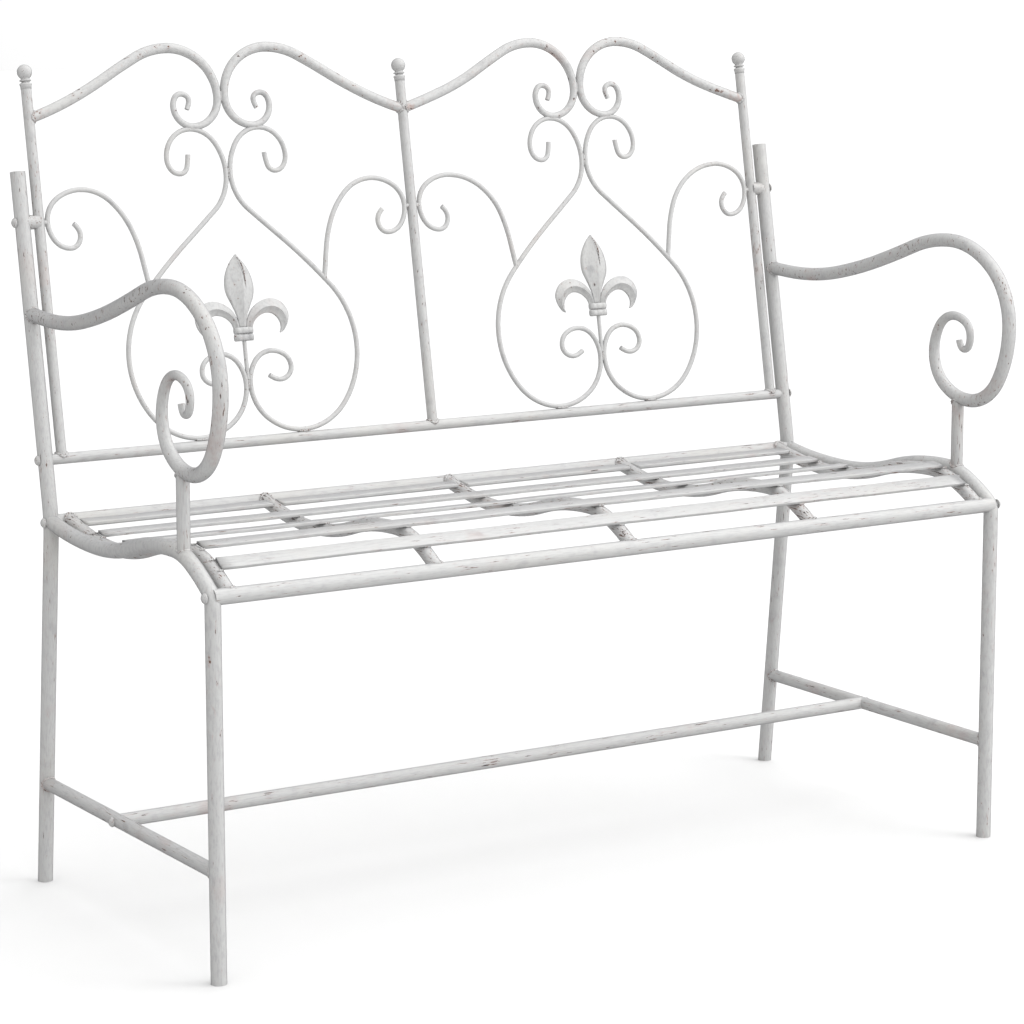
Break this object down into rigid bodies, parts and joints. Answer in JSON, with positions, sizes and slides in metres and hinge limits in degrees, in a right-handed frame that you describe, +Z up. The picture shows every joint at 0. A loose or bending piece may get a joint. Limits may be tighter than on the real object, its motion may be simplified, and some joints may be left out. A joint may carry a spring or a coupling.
{
  "type": "garden bench",
  "caption": "Scrolled steel garden bench: slatted dished seat, curled armrests, and a leaning back of heart scrolls with fleur-de-lis.",
  "frame": {"origin": "on the ground, in the middle of the bench's box", "axes": "+X to the right of a person facing the bench, along its length; +Y towards the back; +Z up"},
  "size_m": [1.111, 0.5562, 1.0001],
  "materials": {
    "distressed_white_paint": "antique off-white paint, satin, rubbed and chipped to brown primer",
    "threaded_steel": "plain zinc-plated steel, inside the tubes",
    "white_plastic_plug": "matt off-white moulded plastic"
  },
  "bodies": {
    "root": {"back_bottom_rail": "distressed_white_paint", "back_spacers": "distressed_white_paint", "ball_finials": "distressed_white_paint", "bottom_rail_plugs": "threaded_steel", "cross_stretcher": "distressed_white_paint", "fleur_collars": "distressed_white_paint", "foot_plugs": "white_plastic_plug", "front_seat_bolts": "distressed_white_paint", "left_arm": "distressed_white_paint", "left_arm_post": "distressed_white_paint", "left_bearer": "distressed_white_paint", "left_end_bearer": "distressed_white_paint", "left_fleur_centre_leaf": "distressed_white_paint", "left_fleur_side_leaves": "distressed_white_paint", "left_inner_heart_scroll": "distressed_white_paint", "left_inner_side_scroll": "distressed_white_paint", "left_inner_top_scroll": "distressed_white_paint", "left_outer_heart_scroll": "distressed_white_paint", "left_outer_side_scroll": "distressed_white_paint", "left_outer_top_scroll": "distressed_white_paint", "left_seat_rail_and_leg": "distressed_white_paint", "left_side_stretcher": "distressed_white_paint", "left_stem": "distressed_white_paint", "left_stile": "distressed_white_paint", "left_upright": "distressed_white_paint", "lower_back_bolts": "distressed_white_paint", "middle_bearer": "distressed_white_paint", "middle_stile": "distressed_white_paint", "rear_seat_bolts": "distressed_white_paint", "right_arm": "distressed_white_paint", "right_arm_post": "distressed_white_paint", "right_bearer": "distressed_white_paint", "right_end_bearer": "distressed_white_paint", "right_fleur_centre_leaf": "distressed_white_paint", "right_fleur_side_leaves": "distressed_white_paint", "right_inner_heart_scroll": "distressed_white_paint", "right_inner_side_scroll": "distressed_white_paint", "right_inner_top_scroll": "distressed_white_paint", "right_outer_heart_scroll": "distressed_white_paint", "right_outer_side_scroll": "distressed_white_paint", "right_outer_top_scroll": "distressed_white_paint", "right_seat_rail_and_leg": "distressed_white_paint", "right_side_stretcher": "distressed_white_paint", "right_stem": "distressed_white_paint", "right_stile": "distressed_white_paint", "right_upright": "distressed_white_paint", "scroll_ties": "distressed_white_paint", "seat_back_rail": "distressed_white_paint", "seat_front_rail": "distressed_white_paint", "seat_rail_plugs": "threaded_steel", "seat_slat_1": "distressed_white_paint", "seat_slat_2": "distressed_white_paint", "seat_slat_3": "distressed_white_paint", "seat_slat_4": "distressed_white_paint", "seat_slat_5": "distressed_white_paint", "stretcher_bolts": "distressed_white_paint", "stretcher_plugs": "threaded_steel", "upper_back_bolts": "distressed_white_paint", "upright_end_caps": "white_plastic_plug"}
  },
  "joints": []
}
